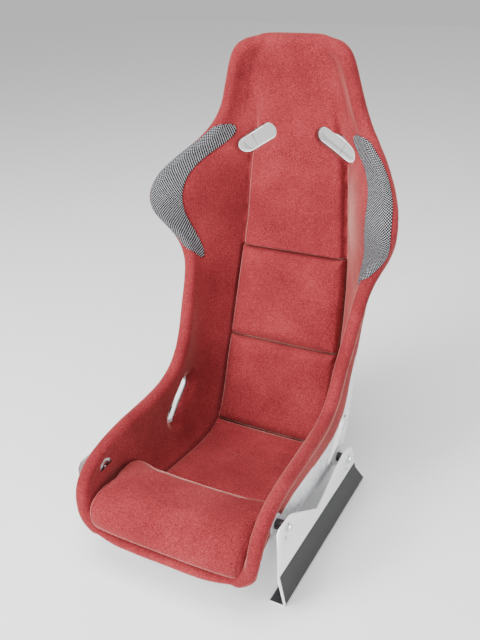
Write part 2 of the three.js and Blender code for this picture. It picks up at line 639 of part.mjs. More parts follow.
// ---------------------------------------------------------------- side brackets and fixings
// An angle section along Y, cut to the bracket's outline seen from the side.
function makeBrackets() {
  const outline = new THREE.Shape(PLATE_OUTLINE.map(([y, z]) => new THREE.Vector2(y, z)));
  for (const [name, side] of SIDES) {
    const section = new THREE.Shape();
    const inner = PLATE_FACE - FLANGE_WIDTH;
    section.moveTo(inner, 0);
    section.lineTo(PLATE_FACE - BEND_RADIUS, 0);
    section.absarc(PLATE_FACE - BEND_RADIUS, BEND_RADIUS, BEND_RADIUS, -Math.PI / 2, 0);
    section.lineTo(PLATE_FACE, 260);
    section.lineTo(PLATE_FACE - PLATE_THICK, 260);
    section.lineTo(PLATE_FACE - PLATE_THICK, BEND_RADIUS);
    section.lineTo(PLATE_FACE - BEND_RADIUS, PLATE_THICK);
    section.lineTo(inner, PLATE_THICK);
    const angle = new THREE.ExtrudeGeometry(section, { ...EXTRUDE, depth: 600 });
    angle.rotateX(Math.PI / 2).translate(0, 320, 0);
    let bracket = solid(angle).intersect(prismX(outline, 150, 240));
    for (const [, bolt] of BOLTS) {
      bracket = bracket.subtract(solid(discX(BOLT.shank + GAP, 200, 240, bolt.y, bolt.z)));
      const spare = [bolt.y + SPARE_HOLE.y, bolt.z + SPARE_HOLE.z];
      bracket = bracket.subtract(solid(discX(BOLT.shank, 200, 240, ...spare)));
    }
    for (const y of [FLANGE_FRONT + FLOOR_SLOT.inset, FLANGE_BACK - FLOOR_SLOT.inset]) {
      const slot = slotShape(FLOOR_SLOT.length, FLOOR_SLOT.width, 90);
      const cutter = new THREE.ExtrudeGeometry(slot, { ...EXTRUDE, depth: 20 });
      bracket = bracket.subtract(solid(cutter.translate(inner + FLANGE_WIDTH / 2 - 2, y, -10)));
    }
    add(`side_bracket_${name}`, sided(bracket, side), "bracket");
    const band = new THREE.Shape(BAND_OUTLINE.map(([y, z]) => new THREE.Vector2(y, z)));
    const strip = prismX(band, PLATE_FACE + GAP, PLATE_FACE + GAP + BAND_THICK);
    add(`bracket_band_${name}`, sided(strip, side), "band");
  }
}

// A prism along X from an outline in Y and Z.
function prismX(shape, from, to) {
  const prism = new THREE.ExtrudeGeometry(shape, { ...EXTRUDE, depth: to - from });
  prism.applyMatrix4(new THREE.Matrix4().makeBasis(
    new THREE.Vector3(0, 1, 0), new THREE.Vector3(0, 0, 1), new THREE.Vector3(1, 0, 0)));
  return solid(prism.translate(from, 0, 0));
}

const sided = (made, side) => (side > 0 ? made : made.mirror([1, 0, 0]));

function makeFixings() {
  const plateIn = PLATE_FACE - PLATE_THICK;
  const washerOut = PLATE_FACE + GAP + BOLT.washerThick;
  for (const [name, side] of SIDES)
    for (const [end, bolt] of BOLTS) {
      const at = [bolt.y, bolt.z];
      const tag = `${end}_${name}`;
      const ring = (outer, inner, from, to) => sided(ringX(outer, inner, from, to, ...at), side);
      add(`washer_${tag}`, ring(BOLT.washer, BOLT.shank + GAP, PLATE_FACE + GAP, washerOut), "zinc");
      add(`spacer_${tag}`, ring(SPACER, BOLT.shank + GAP, BOSS.face + GAP, plateIn - GAP), "blackTrim");
      const flange = ring(INSERT.flange, BOLT.shank + GAP, BOSS.back - GAP - INSERT.thick, BOSS.back - GAP);
      const barrel = ring(INSERT.barrel, BOLT.shank + GAP, BOSS.back - GAP - 1, BOSS.face - 1);
      add(`threaded_insert_${tag}`, flange.add(barrel), "zinc");
      const hex = discX(BOLT.head, washerOut + GAP, washerOut + GAP + BOLT.headHigh, ...at, 6);
      const shank = discX(BOLT.shank, BOSS.back - 4, washerOut + GAP + 1, ...at, 16);
      add(`mounting_bolt_${tag}`, sided(solid(hex).add(solid(shank)), side), "zinc");
    }
}

const SCREW_SPOTS = SIDES.flatMap(([, side]) => [["upper", 1], ["lower", -1]].map(([place, way]) => {
  const turn = THREE.MathUtils.degToRad(LAP_SLOT.tilt);
  const reach = way * (LAP_SLOT.length / 2 + LAP_BEZEL.ends / 2);
  const y = LAP_SLOT.y + reach * Math.cos(turn);
  const z = LAP_SLOT.z + reach * Math.sin(turn);
  return { side, place, y, z, x: wallX(y, z) * side };
}));

makeShell();
makeBolsters();
makeEndPads();
makeCushions();
makeThighCushion();
makeMeshPanels();
makeSlotTrims();
makeBrackets();
makeFixings();

// The part's frame: the middle of its box in X and Y, with Z from the brackets' underside.
const box = new THREE.Box3().setFromObject(seat);
seat.position.y = -(box.min.y + box.max.y) / 2;

export default seat;
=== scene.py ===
# Racing seat: the visual model. Sizes are in millimetres in the helpers and metres in Blender.
import bpy
import bmesh
import json
import math
import numpy as np
from mathutils import Matrix, Vector
from mathutils.bvhtree import BVHTree


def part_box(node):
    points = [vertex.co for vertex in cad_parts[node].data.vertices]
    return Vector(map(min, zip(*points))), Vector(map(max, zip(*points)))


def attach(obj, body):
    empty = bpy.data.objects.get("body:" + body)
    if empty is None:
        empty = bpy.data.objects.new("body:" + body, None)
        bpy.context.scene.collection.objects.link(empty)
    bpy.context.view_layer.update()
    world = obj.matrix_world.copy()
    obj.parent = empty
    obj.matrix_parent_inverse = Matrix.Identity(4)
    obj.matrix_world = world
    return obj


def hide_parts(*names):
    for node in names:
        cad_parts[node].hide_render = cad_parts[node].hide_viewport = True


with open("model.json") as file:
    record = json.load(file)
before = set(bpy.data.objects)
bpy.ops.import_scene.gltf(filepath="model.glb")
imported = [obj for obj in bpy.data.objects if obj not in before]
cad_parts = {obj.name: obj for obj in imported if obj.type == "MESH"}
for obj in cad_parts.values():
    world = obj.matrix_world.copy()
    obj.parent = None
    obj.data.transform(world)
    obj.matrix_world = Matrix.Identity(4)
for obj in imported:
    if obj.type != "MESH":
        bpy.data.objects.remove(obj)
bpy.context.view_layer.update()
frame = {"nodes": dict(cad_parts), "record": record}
scene = bpy.context.scene

# ---------------------------------------------------------------- camera
CAMERA_AZ, CAMERA_EL, CAMERA_ROLL = 29.8, 27.8, -3.04
CAMERA_DISTANCE, CAMERA_LENS = 1.565, 44.2
AIM = (0.0, 0.021, 0.423)


def add_camera():
    a, e, r = (math.radians(v) for v in (CAMERA_AZ, CAMERA_EL, CAMERA_ROLL))
    back = Vector((math.sin(a) * math.cos(e), -math.cos(a) * math.cos(e), math.sin(e)))
    right = Vector((math.cos(a), math.sin(a), 0))
    up = back.cross(right)
    right, up = right * math.cos(r) + up * math.sin(r), up * math.cos(r) - right * math.sin(r)
    data = bpy.data.cameras.new("camera")
    data.lens, data.sensor_width, data.sensor_fit = CAMERA_LENS, 36, "AUTO"
    cam = bpy.data.objects.new("camera", data)
    scene.collection.objects.link(cam)
    cam.location = Vector(AIM) + back * CAMERA_DISTANCE
    cam.rotation_mode = "QUATERNION"
    cam.rotation_quaternion = Matrix((right, up, back)).transposed().to_quaternion()
    scene.camera = cam


add_camera()

# ---------------------------------------------------------------- the shell's form
# base [y, z], flat, knee, wall [x, share], rim [x, y, z], as in the CAD part.
STATIONS = np.array([
    [-247, 84, 60, 100, 128, 0.5, 158, -240, 92],
    [-234, 84, 84, 128, 152, 0.5, 180, -238, 103],
    [-205, 83, 100, 150, 176, 0.45, 190, -237, 130],
    [-165, 80, 108, 166, 187, 0.5, 193, -228, 173],
    [-118, 74, 112, 176, 192, 0.55, 193, -192, 206],
    [-55, 63, 114, 180, 194, 0.6, 192, -122, 221],
    [20, 50, 116, 184, 197, 0.6, 191, -42, 224],
    [95, 40, 118, 186, 200, 0.6, 190, 34, 225],
    [160, 38, 120, 186, 203, 0.6, 190, 90, 236],
    [212, 58, 120, 184, 204, 0.55, 189, 132, 264],
    [240, 110, 120, 180, 202, 0.55, 190, 163, 312],
    [266, 180, 120, 176, 200, 0.55, 196, 193, 366],
    [298, 262, 122, 170, 200, 0.6, 201, 222, 416],
    [328, 346, 124, 164, 202, 0.68, 207, 244, 464],
    [355, 428, 124, 158, 206, 0.78, 228, 254, 509],
    [375, 505, 122, 152, 210, 0.86, 249, 238, 554],
    [386, 572, 118, 150, 212, 0.88, 269, 200, 606],
    [391, 630, 112, 148, 202, 0.84, 253, 242, 652],
    [394, 690, 100, 140, 176, 0.7, 200, 328, 699],
    [394, 745, 84, 122, 150, 0.6, 160, 349, 755],
    [389, 805, 74, 108, 132, 0.6, 141, 348, 815],
    [380, 858, 66, 96, 117, 0.6, 128, 347, 868],
    [375, 889, 58, 86, 104, 0.6, 117, 350, 896],
    [371, 905, 48, 72, 88, 0.6, 99, 355, 906],
    [368, 914, 36, 54, 64, 0.5, 72, 360, 910],
], float)
LAST = len(STATIONS) - 3
SHELL = 4.0
ROLL_IN, ROLL_OUT, ROLL_EDGE = 17.0, 13.0, 15.0
HEAD_TOP, LIP_TOP, PAD_TOP = 26.0, 13.0, 34.0
T_SEAM, T_FLAP = 0.44, 0.93
BELT_SLOT = dict(length=98, width=34, x=90, z=711, tilt=-32)
LAP_SLOT = dict(length=106, width=27, y=110, z=170, tilt=38)


def spline(rows, u):
    """Clamped uniform cubic B-spline. rows: (count, [shape of u], values) or (count, values)."""
    u = np.asarray(u, float)
    spans = len(rows) - 3
    span = np.clip(np.floor(u), 0, spans - 1).astype(int) + 3
    rows = np.asarray(rows, float)
    if rows.ndim == 2:
        d = [rows[span - 3 + i] for i in range(4)]
    else:
        d = [np.take_along_axis(rows, (span - 3 + i)[None, ..., None], 0)[0] for i in range(4)]
    knot = lambda i: np.clip(i - 3, 0, spans)
    for level in (1, 2, 3):
        for i in range(3, level - 1, -1):
            low = knot(span - 3 + i)
            share = ((u - low) / (knot(span + 1 + i - level) - low))[..., None]
            d[i] = d[i - 1] * (1 - share) + d[i] * share
    return d[3]


def face(u, t):
    """A point on the shell's outer face; u along the stations, t from -1 to 1 across."""
    u, t = np.broadcast_arrays(np.asarray(u, float), np.asarray(t, float))
    y, z, flat, knee, wall, share, rx, ry, rz = np.moveaxis(spline(STATIONS, u), -1, 0)
    zero, one = np.zeros_like(y), np.ones_like(y)
    section = np.stack([
        np.stack([zero, zero], -1), np.stack([flat / 2, zero], -1), np.stack([flat, zero], -1),
        np.stack([knee, 0.13 * share], -1), np.stack([wall, share], -1), np.stack([rx, one], -1)])
    s = spline(section, np.abs(t) * 3)
    x, k = np.sign(t) * s[..., 0], s[..., 1]
    return np.stack([x, y + k * (ry - y), z + k * (rz - z)], -1)


STEP = 0.02


def unit(v):
    return v / np.maximum(np.linalg.norm(v, axis=-1, keepdims=True), 1e-9)


def normal(u, t):
    """The face's normal, towards the occupant."""
    a, b = np.clip(u, 0.4, LAST - 0.4), np.clip(t, -0.94, 0.94)
    along = face(a + STEP, b) - face(a - STEP, b)
    across = face(a, b + STEP) - face(a, b - STEP)
    return unit(np.cross(across, along))


def past_edge(u, side):
    """The direction past the side edge, square to it."""
    a = np.clip(u, 2 * STEP, LAST - 2 * STEP)
    along = face(a + STEP, side) - face(a - STEP, side)
    return unit(np.cross(along, normal(a, side))) * np.asarray(side)[..., None]


def past_end(u):
    a = min(max(u, STEP), LAST - STEP)
    return unit(face(a + STEP, 0) - face(a - STEP, 0))


def place(u, t, h, past=0.0):
    """A point at height h over the outer face and `past` the side edge."""
    u, t, h, past = np.broadcast_arrays(*(np.asarray(v, float) for v in (u, t, h, past)))
    p = face(u, t) + normal(u, t) * h[..., None]
    if np.any(past):
        p = p + past_edge(u, np.where(t < 0, -1.0, 1.0)) * past[..., None]
    return p


# The part's frame: its box is centred in Y, so the shell's own form is shifted by a constant.
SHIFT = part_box("shell")[1][1] * 1000 - face(np.linspace(0, LAST, 400), 0)[:, 1].max()


def metres(p):
    p = np.asarray(p, float).copy()
    p[..., 1] += SHIFT
    return p / 1000


# ---------------------------------------------------------------- meshes
def new_object(name, verts, faces, smooth=True):
    mesh = bpy.data.meshes.new(name)
    rows = [tuple(v) for v in np.asarray(verts).reshape(-1, 3)]
    mesh.from_pydata(rows, [], [tuple(f) for f in faces])
    mesh.validate()
    obj = bpy.data.objects.new(name, mesh)
    scene.collection.objects.link(obj)
    fix_normals(obj)
    if smooth:
        mesh.shade_smooth()
    return obj


def fix_normals(obj):
    bm = bmesh.new()
    bm.from_mesh(obj.data)
    bmesh.ops.remove_doubles(bm, verts=bm.verts, dist=1e-6)
    bmesh.ops.recalc_face_normals(bm, faces=bm.faces)
    bm.to_mesh(obj.data)
    bm.free()


def tube_faces(rings, count, closed_ends=True):
    faces = []
    for i in range(rings - 1):
        for j in range(count):
            k = (j + 1) % count
            faces.append((i * count + j, i * count + k, (i + 1) * count + k, (i + 1) * count + j))
    if closed_ends:
        faces.append(tuple(range(count))[::-1])
        faces.append(tuple((rings - 1) * count + j for j in range(count)))
    return faces


def section_object(name, us, ring_at):
    """Lofts closed rings of [t, h, past] along u."""
    rings = [np.array(ring_at(u), float) for u in us]
    points = np.concatenate([place(u, r[:, 0], r[:, 1], r[:, 2]) for u, r in zip(us, rings)])
    return new_object(name, metres(points), tube_faces(len(us), len(rings[0])))


def join(name, objects):
    bpy.ops.object.select_all(action="DESELECT")
    for o in objects:
        o.select_set(True)
    bpy.context.view_layer.objects.active = objects[0]
    bpy.ops.object.join()
    objects[0].name = name
    objects[0].data.name = name
    return objects[0]


def apply(obj, kind, **settings):
    m = obj.modifiers.new(kind.lower(), kind)
    for k, v in settings.items():
        setattr(m, k, v)
    bpy.ops.object.select_all(action="DESELECT")
    obj.select_set(True)
    bpy.context.view_layer.objects.active = obj
    bpy.ops.object.modifier_apply(modifier=m.name)
    return obj


def combine(obj, operation, other):
    """A boolean with another object, which is then dropped."""
    apply(obj, "BOOLEAN", operation=operation, object=other, solver="MANIFOLD")
    drop(other)


def drop(*objects):
    for o in objects:
        bpy.data.objects.remove(o, do_unlink=True)


def coords(obj):
    v = np.empty(len(obj.data.vertices) * 3)
    obj.data.vertices.foreach_get("co", v)
    return v.reshape(-1, 3)


def slot_outline(length, width, tilt, grow, arc=12):
    """A slot with round ends, turned by tilt and grown all round."""
    r, half, a0 = width / 2 + grow, length / 2 - width / 2, math.radians(tilt)
    points = []
    for centre, start in ((half, -math.pi / 2), (-half, math.pi / 2)):
        for i in range(arc + 1):
            a = start + math.pi * i / arc
            points.append((centre + r * math.cos(a), r * math.sin(a)))
    c, s = math.cos(a0), math.sin(a0)
    return [(x * c - y * s, x * s + y * c) for x, y in points]


def prism(name, outline, to_point, depths):
    """outline extruded between two depths; to_point(a, b, depth) gives the place."""
    n = len(outline)
    verts = [to_point(a, b, d) for d in depths for a, b in outline]
    return new_object(name, metres(verts), tube_faces(len(depths), n), smooth=False)


BELT_REACH, LAP_REACH = (280, 470), (110, 240)
FLARE_END, FLARE_START = 165, 190


def belt_cutter(side, grow=0.0):
    s = BELT_SLOT
    outline = slot_outline(s["length"], s["width"], s["tilt"] * side, grow)
    return prism("belt_cutter", outline, lambda a, b, d: (side * s["x"] + a, d, s["z"] + b), BELT_REACH)


def lap_cutter(side, grow=0.0, flare=0.0):
    """A prism through the lap slot along X; with a flare it widens towards the occupant."""
    s = LAP_SLOT
    outline = slot_outline(s["length"], s["width"], s["tilt"], grow)
    wide = dict(zip(outline, slot_outline(s["length"], s["width"], s["tilt"], grow + flare)))
    def at(a, b, d):
        a, b = wide[(a, b)] if d < FLARE_START else (a, b)
        return (side * d, s["y"] + a, s["z"] + b)
    depths = (LAP_REACH[0], FLARE_END, FLARE_START, LAP_REACH[1]) if flare else LAP_REACH
    return prism("lap_cutter", outline, at, depths)


# ---------------------------------------------------------------- materials
NET_PITCH = 0.0052


def nodes_of(name):
    """A new material with its node tree and shader."""
    m = bpy.data.materials.new(name)
    m.use_nodes = True
    return m, m.node_tree, m.node_tree.nodes["Principled BSDF"]


def node(tree, kind, inputs=None, **settings):
    n = tree.nodes.new(kind)
    for k, v in settings.items():
        setattr(n, k, v)
    for k, v in (inputs or {}).items():
        if hasattr(v, "bl_rna") and v.bl_rna.identifier.startswith("NodeSocket"):
            tree.links.new(v, n.inputs[k])
        else:
            n.inputs[k].default_value = v
    return n


def ramp(tree, fac, stops):
    n = node(tree, "ShaderNodeValToRGB", {"Fac": fac})
    while len(n.color_ramp.elements) < len(stops):
        n.color_ramp.elements.new(0.5)
    for e, (at, colour) in zip(n.color_ramp.elements, stops):
        e.position = at
        e.color = (*colour, 1)
    return n.outputs["Color"]


def noise(tree, scale, detail=2.0, rough=0.5):
    at = node(tree, "ShaderNodeTexCoord").outputs["Object"]
    return node(tree, "ShaderNodeTexNoise",
                {"Vector": at, "Scale": scale, "Detail": detail, "Roughness": rough})


def bump(tree, shader, height, strength, distance, under=None):
    inputs = {"Height": height, "Strength": strength, "Distance": distance}
    if under:
        inputs["Normal"] = under
    b = node(tree, "ShaderNodeBump", inputs)
    tree.links.new(b.outputs["Normal"], shader.inputs["Normal"])
    return b.outputs["Normal"]


def velour(name, dark, mid, light, sheen):
    """Short pile: large soft patches, a grain of tufts and a fine nap, with a warm sheen."""
    m, tree, s = nodes_of(name)
    patch = noise(tree, 9, 3, 0.55)
    pile = noise(tree, 900, 2, 0.6)
    grain = noise(tree, 420, 3, 0.7)
    mix = node(tree, "ShaderNodeMath", {0: grain.outputs["Fac"], 1: 0.72}, operation="MULTIPLY")
    mix = node(tree, "ShaderNodeMath", {0: patch.outputs["Fac"], 1: 0.28, 2: mix.outputs[0]},
               operation="MULTIPLY_ADD")
    tone = ramp(tree, mix.outputs[0], [(0.36, dark), (0.5, mid), (0.64, light)])
    tree.links.new(tone, s.inputs["Base Color"])
    s.inputs["Roughness"].default_value = 0.95
    s.inputs["Specular IOR Level"].default_value = 0.15
    s.inputs["Sheen Weight"].default_value = sheen
    s.inputs["Sheen Roughness"].default_value = 0.3
    s.inputs["Sheen Tint"].default_value = (1.0, 0.56, 0.47, 1)
    first = bump(tree, s, grain.outputs["Fac"], 0.35, 0.0006)
    bump(tree, s, pile.outputs["Fac"], 0.4, 0.0004, first)
    return m


def netting(name):
    """Woven netting: silver threads that show as rows of dots on black."""
    m, tree, s = nodes_of(name)
    uv = node(tree, "ShaderNodeUVMap", uv_map="weave").outputs["UV"]
    pitch = 2 * math.pi / NET_PITCH
    xyz = node(tree, "ShaderNodeSeparateXYZ", {"Vector": uv})
    def wave(socket):
        a = node(tree, "ShaderNodeMath", {0: socket, 1: pitch}, operation="MULTIPLY")
        return node(tree, "ShaderNodeMath", {0: a.outputs[0]}, operation="SINE").outputs[0]
    across, along = wave(xyz.outputs["X"]), wave(xyz.outputs["Y"])
    cross = node(tree, "ShaderNodeMath", {0: across, 1: along}, operation="MULTIPLY").outputs[0]
    high = node(tree, "ShaderNodeMath", {0: cross, 1: 0.5, 2: 0.5}, operation="MULTIPLY_ADD").outputs[0]
    speck = noise(tree, 700, 2, 0.6).outputs["Fac"]
    both = node(tree, "ShaderNodeMath", {0: speck, 1: 0.35, 2: high}, operation="MULTIPLY_ADD").outputs[0]
    tone = ramp(tree, both, [(0.55, (0.002, 0.002, 0.003)), (0.82, (0.007, 0.007, 0.008)),
                             (0.94, (0.14, 0.145, 0.155)), (1.0, (0.55, 0.56, 0.59))])
    tree.links.new(tone, s.inputs["Base Color"])
    s.inputs["Roughness"].default_value = 0.6
    s.inputs["Specular IOR Level"].default_value = 0.25
    bump(tree, s, high, 0.8, 0.0012)
    return m


def gelcoat(name, colour):
    """Glossy moulded surface: slight tint and roughness variation and faint waviness."""
    m, tree, s = nodes_of(name)
    tint = noise(tree, 5, 3, 0.5)
    tree.links.new(ramp(tree, tint.outputs["Fac"], [(0.3, [c * 0.96 for c in colour]), (0.7, colour)]),
                   s.inputs["Base Color"])
    rough = node(tree, "ShaderNodeMapRange", {"Value": noise(tree, 40, 4, 0.6).outputs["Fac"],
                                              "To Min": 0.2, "To Max": 0.34})
    tree.links.new(rough.outputs["Result"], s.inputs["Roughness"])
    s.inputs["Coat Weight"].default_value = 0.4
    s.inputs["Coat Roughness"].default_value = 0.12
    bump(tree, s, noise(tree, 28, 2, 0.5).outputs["Fac"], 0.12, 0.001)
    return m


def coated(name, colour, rough, metal=0.0, grain=380, strength=0.2, edge=1.35, shine=0.5):
    """Powder coat, plated steel or moulded plastic: fine texture, with lighter convex edges."""
    m, tree, s = nodes_of(name)
    mottled = noise(tree, grain, 3, 0.6)
    edges = node(tree, "ShaderNodeNewGeometry").outputs["Pointiness"]
    # The colour is made lighter where the surface is convex, as found by pointiness.
    convex_share = node(tree, "ShaderNodeMapRange", {"Value": edges, "From Min": 0.5, "From Max": 0.58})
    base = ramp(tree, mottled.outputs["Fac"], [(0.3, [c * 0.85 for c in colour]), (0.7, colour)])
    light = node(tree, "ShaderNodeMix", data_type="RGBA")
    tree.links.new(convex_share.outputs["Result"], light.inputs[0])
    tree.links.new(base, light.inputs[6])
    light.inputs[7].default_value = (*[min(c * edge + 0.02, 1) for c in colour], 1)
    tree.links.new(light.outputs[2], s.inputs["Base Color"])
    spread = node(tree, "ShaderNodeMapRange", {"Value": mottled.outputs["Fac"], "To Min": rough * 0.8,
                                               "To Max": rough * 1.25})
    tree.links.new(spread.outputs["Result"], s.inputs["Roughness"])
    s.inputs["Metallic"].default_value = metal
    s.inputs["Specular IOR Level"].default_value = shine
    bump(tree, s, mottled.outputs["Fac"], strength, 0.0003)
    return m


MATERIALS = {
    "velour": velour("velour", (0.112, 0.010, 0.0125), (0.200, 0.019, 0.024), (0.31, 0.044, 0.048), 0.9),
    "lining": velour("lining", (0.10, 0.012, 0.016), (0.19, 0.022, 0.028), (0.26, 0.03, 0.036), 0.3),
    "mesh": netting("netting"),
    "gelcoat": gelcoat("gelcoat", (0.80, 0.81, 0.83)),
    "bezel": gelcoat("bezel", (0.78, 0.79, 0.80)),
    # black_trim also colours the side brackets' flanges, as painted shade under the seat.
    "black_trim": coated("black_trim", (0.010, 0.010, 0.012), 0.42, shine=0.4),
    "bracket": coated("bracket", (0.74, 0.75, 0.77), 0.34, 0.15),
    "band": coated("band", (0.006, 0.006, 0.007), 0.6, grain=500, shine=0.2),
    "zinc": coated("zinc", (0.55, 0.56, 0.58), 0.3, 1.0, grain=700),
    "steel": coated("steel", (0.40, 0.41, 0.43), 0.3, 1.0, grain=700),
    "hook": coated("hook_tape", (0.02, 0.02, 0.022), 0.9, grain=1200, strength=0.8, shine=0.2),
}
NODE_SLOT = {s["node"]: s["material_slot"] for s in frame["record"]["subparts"]}


def finish_piece(obj, slot, *replaced, fill=None):
    obj.data.materials.clear()
    obj.data.materials.append(MATERIALS[slot])
    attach(obj, "root")
    if replaced:
        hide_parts(*replaced)
    return obj


# ---------------------------------------------------------------- shell
def smooth(low, high, v):
    s = np.clip((np.asarray(v, float) - low) / (high - low), 0, 1)
    return s * s * (3 - 2 * s)


def disc_x(radius, x0, x1, y, z, count=48):
    turn = np.linspace(0, 2 * math.pi, count, False)
    outline = [(radius * math.cos(a), radius * math.sin(a)) for a in turn]
    return prism("disc", outline, lambda a, b, d: (d, y + a, z + b), (x0, x1))


US = np.linspace(0, LAST, 12 * LAST + 1)
TS = np.linspace(-1, 1, 121)
BOLTS = {"front": (-165, 178), "rear": (125, 123)}
BOSS_RADIUS, BOSS_FACE, BOSS_BACK = 19, 197, 183


def slab(name, low, high, past):
    """A layer over the whole shell, from one height to another."""
    def ring(u):
        top = [(t, high, 0) for t in TS[1:-1]]
        bottom = [(t, low, 0) for t in TS[1:-1][::-1]]
        return [(-1, high, past)] + top + [(1, high, past), (1, low, past)] + bottom + [(-1, low, past)]
    return section_object(name, US, ring)


def make_shell():
    shell = slab("shell_laminate", 0, SHELL, 0)
    for side in (-1, 1):
        for y, z in BOLTS.values():
            combine(shell, "UNION", disc_x(BOSS_RADIUS, side * BOSS_BACK, side * BOSS_FACE, y, z))
        combine(shell, "DIFFERENCE", belt_cutter(side))
        combine(shell, "DIFFERENCE", lap_cutter(side))
    shell.data.shade_smooth()
    shell.data.set_sharp_from_angle(angle=math.radians(35))
    finish_piece(shell, "gelcoat", "shell")


# ---------------------------------------------------------------- fixed cover
SEAM_TOP = 13.5  # the cover's centre panel starts here and runs up to the head
LINING = 7.8
FIT = 0.5  # the cover's clearance to the laminate
INNER = SHELL + FIT
WALL_FOAM, WALL_SWELL = 19, 6  # foam at the edge of the side wall, and how much thicker halfway up
FRONT_FOAM, LIP_FOAM = 9, 13
HEAD_RIM = 19
INSERT_FOAM = (15, 24)  # least foam over the front and the rear threaded insert
VOXEL = 0.0032


def cover_height(u, t):
    """Height of the cover's outside over the shell's outer face."""
    a = np.abs(t)
    share = np.clip((a - T_SEAM) / (1 - T_SEAM), 0, 1)
    wall = WALL_FOAM + WALL_SWELL * np.sin(np.pi * share)
    front = 1 - smooth(3.45, 4.1, u)
    wall = wall * (1 - front) + (FRONT_FOAM + 7 * smooth(0.80, 0.94, a)) * front
    lip = 1 - smooth(1.2, 1.6, u)
    wall = wall * (1 - lip) + (LIP_FOAM + 6 * smooth(0.5, 0.85, a)) * lip
    head = smooth(17.8, 19.6, u)
    wall = wall * (1 - head) + HEAD_RIM * head
    # The edge beside the loose cushions is rounded down into the crease.
    groove = 1 - smooth(T_SEAM, T_SEAM + 0.07, a)
    fade = 1 - smooth(17.2, 18.6, u)
    wall = wall - 9 * groove * fade * (1 - lip)
    panel = PAD_TOP - 8 * smooth(17.0, 19.4, u)
    crown = 3.0 * (1 - (a / T_SEAM) ** 2)
    panel = panel + np.where(a < T_SEAM, crown, 0) * fade
    edge = smooth(0.33, T_SEAM, a)
    low = 12 * fade + (HEAD_TOP - 2) * (1 - fade)
    panel = panel * (1 - edge ** 3) + low * edge ** 3
    # Around the lap slot the foam thins out, down to its bezel.
    p = face(u, t)
    turn = math.radians(LAP_SLOT["tilt"])
    along = (p[..., 1] - LAP_SLOT["y"]) * math.cos(turn) + (p[..., 2] - LAP_SLOT["z"]) * math.sin(turn)
    cross = (p[..., 2] - LAP_SLOT["z"]) * math.cos(turn) - (p[..., 1] - LAP_SLOT["y"]) * math.sin(turn)
    reach = np.hypot(np.maximum(np.abs(along) - 40, 0), cross)
    dish = smooth(14, 40, reach)
    wall = np.where((u > 4.2) & (u < 11), (SHELL + 5) * (1 - dish) + wall * dish, wall)
    # Foam over the threaded inserts.
    for (by, bz), foam in zip(BOLTS.values(), INSERT_FOAM):
        near = 1 - smooth(22, 62, np.hypot(p[..., 1] - by, p[..., 2] - bz))
        wall = np.where((a > 0.6) & (u < 11), np.maximum(wall, foam * near), wall)
    centre = np.where(u < 1.55, float(LIP_FOAM), np.where(u < SEAM_TOP, LINING, panel))
    head_face = HEAD_TOP - 7 * smooth(0.3, 0.8, a)
    full = np.where(a < T_SEAM, centre, wall)
    top = smooth(18.2, 19.6, u)
    return full * (1 - top) + head_face * top


def rim_arc(side, size, count=14):
    """The padded rim's section, around the shell's edge, as [t, h, past]."""
    arc = []
    for i in range(count + 1):
        a = math.pi * i / count
        thick = (ROLL_IN if math.cos(a) > 0 else ROLL_OUT) * math.cos(a) * size
        arc.append((side, SHELL / 2 + thick, ROLL_EDGE * math.sin(a) * size))
    return arc


def cover_main():
    """The cover from its face over both rims to the flaps behind, lofted along the shell."""
    inner_t = np.linspace(0, 1, 61)[:-1]
    flap_t = np.linspace(1, T_FLAP, 6)[1:]
    us = np.unique(np.concatenate([US, [1.5, 1.55, 1.6, SEAM_TOP - 0.01, SEAM_TOP, SEAM_TOP + 0.02]]))
    def ring(u):
        size = 1 - 0.3 * float(smooth(LAST - 0.35, LAST, u)) - 0.3 * float(1 - smooth(0, 0.35, u))
        outer = [(t, float(cover_height(u, t)) * size, 0) for t in inner_t] + rim_arc(1, size)
        outer += [(t, -5 * size, 0) for t in flap_t] + [(T_FLAP, INNER - 0.6, 0)]
        low = [(t, INNER, 0) for t in np.linspace(T_FLAP, 0, 41)]
        right = outer + low
        left = [(-t, h, p) for t, h, p in right[1:-1]][::-1]
        return right + left
    return section_object("cover_main", us, ring)


def end_bar(end, height, count=28):
    """The padded roll across the shell's lower or upper end."""
    out = 1 if end > 0 else -1
    ts = np.linspace(-1, 1, 81)
    way = past_end(end)
    rings = []
    for t in ts:
        ring = []
        for i in range(count):
            a = 2 * math.pi * i / count
            side_drop = 1 - 0.25 * float(smooth(0.3, 0.8, abs(t)))
            thick = (height - SHELL / 2) * side_drop if math.cos(a) > 0 else ROLL_OUT - SHELL / 2
            past = (ROLL_EDGE if math.sin(a) > 0 else 14) * math.sin(a) * out
            ring.append(place(end, t, SHELL / 2 + thick * math.cos(a)) + way * past)
        rings.append(ring)
    return new_object("bar", metres(np.array(rings)), tube_faces(len(ts), count))


def ball(p, radius):
    bpy.ops.mesh.primitive_uv_sphere_add(
        segments=24, ring_count=16, radius=radius / 1000, location=metres(p))
    return bpy.context.object


def ripple(obj, size, strength):
    """Gentle unevenness of cloth over foam."""
    texture = bpy.data.textures.new(obj.name + "_ripple", "CLOUDS")
    texture.noise_scale = size
    texture.noise_depth = 1
    apply(obj, "DISPLACE", texture=texture, texture_coords="GLOBAL", strength=strength, mid_level=0.5)


